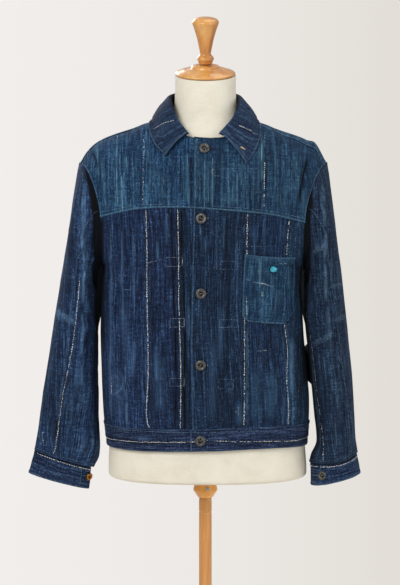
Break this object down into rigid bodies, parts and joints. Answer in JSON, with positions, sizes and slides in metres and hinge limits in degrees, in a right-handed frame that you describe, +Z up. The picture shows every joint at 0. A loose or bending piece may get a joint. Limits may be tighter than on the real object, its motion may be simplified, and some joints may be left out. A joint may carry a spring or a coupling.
{
  "type": "patched boro jacket on a dress form",
  "caption": "Waist-length patched hand-loomed jacket with yokes, pleated strips, chest pocket, shirt collar and buttoned band, worn by a limbless dress form on a wooden pole stand.",
  "frame": {"origin": "centre of the stand's round foot, at its underside, on the floor", "axes": "+Z up along the pole, -Y out of the jacket's front, +X towards the wearer's left"},
  "size_m": [0.6158, 0.38, 1.692],
  "materials": {
    "indigo_cloth": "hand-loomed indigo cotton, matt",
    "yoke_cloth": "lighter streaked indigo cotton, matt",
    "collar_cloth": "dark violet indigo cotton, matt",
    "pocket_cloth": "faded teal indigo cotton, matt",
    "metal_button": "antiqued dark metal",
    "brass_trim": "satin",
    "turquoise_stone": "polished stone",
    "form_linen": "stretched linen, matt",
    "honey_wood": "glossy varnish",
    "pole_wood": "satin varnish",
    "steel_screw": "satin"
  },
  "bodies": {
    "root": {"front_strip_right_side": "indigo_cloth", "front_strip_right_mid": "indigo_cloth", "front_placket_right": "indigo_cloth", "front_placket_left": "indigo_cloth", "front_strip_left_mid": "indigo_cloth", "front_strip_left_side": "indigo_cloth", "front_yoke_right": "yoke_cloth", "front_yoke_left": "yoke_cloth", "back_body": "indigo_cloth", "back_yoke": "yoke_cloth", "waistband_right": "indigo_cloth", "waistband_left": "indigo_cloth", "waistband_back": "indigo_cloth", "sleeve_right_front": "indigo_cloth", "sleeve_right_back": "indigo_cloth", "sleeve_left_front": "indigo_cloth", "sleeve_left_back": "indigo_cloth", "cuff_right": "indigo_cloth", "cuff_left": "indigo_cloth", "collar_stand": "collar_cloth", "collar_fall": "collar_cloth", "chest_pocket": "pocket_cloth", "front_button_1": "metal_button", "front_button_2": "metal_button", "front_button_3": "metal_button", "front_button_4": "metal_button", "front_button_5": "metal_button", "pocket_stone": "turquoise_stone", "collar_pin": "brass_trim", "cuff_button_left": "metal_button", "cuff_button_right": "brass_trim", "dress_form": "form_linen", "neck_cap": "honey_wood", "neck_cap_knob": "honey_wood", "pole_bulb": "honey_wood", "stand_pole": "pole_wood", "stand_base": "pole_wood", "bulb_screw": "steel_screw"}
  },
  "joints": []
}
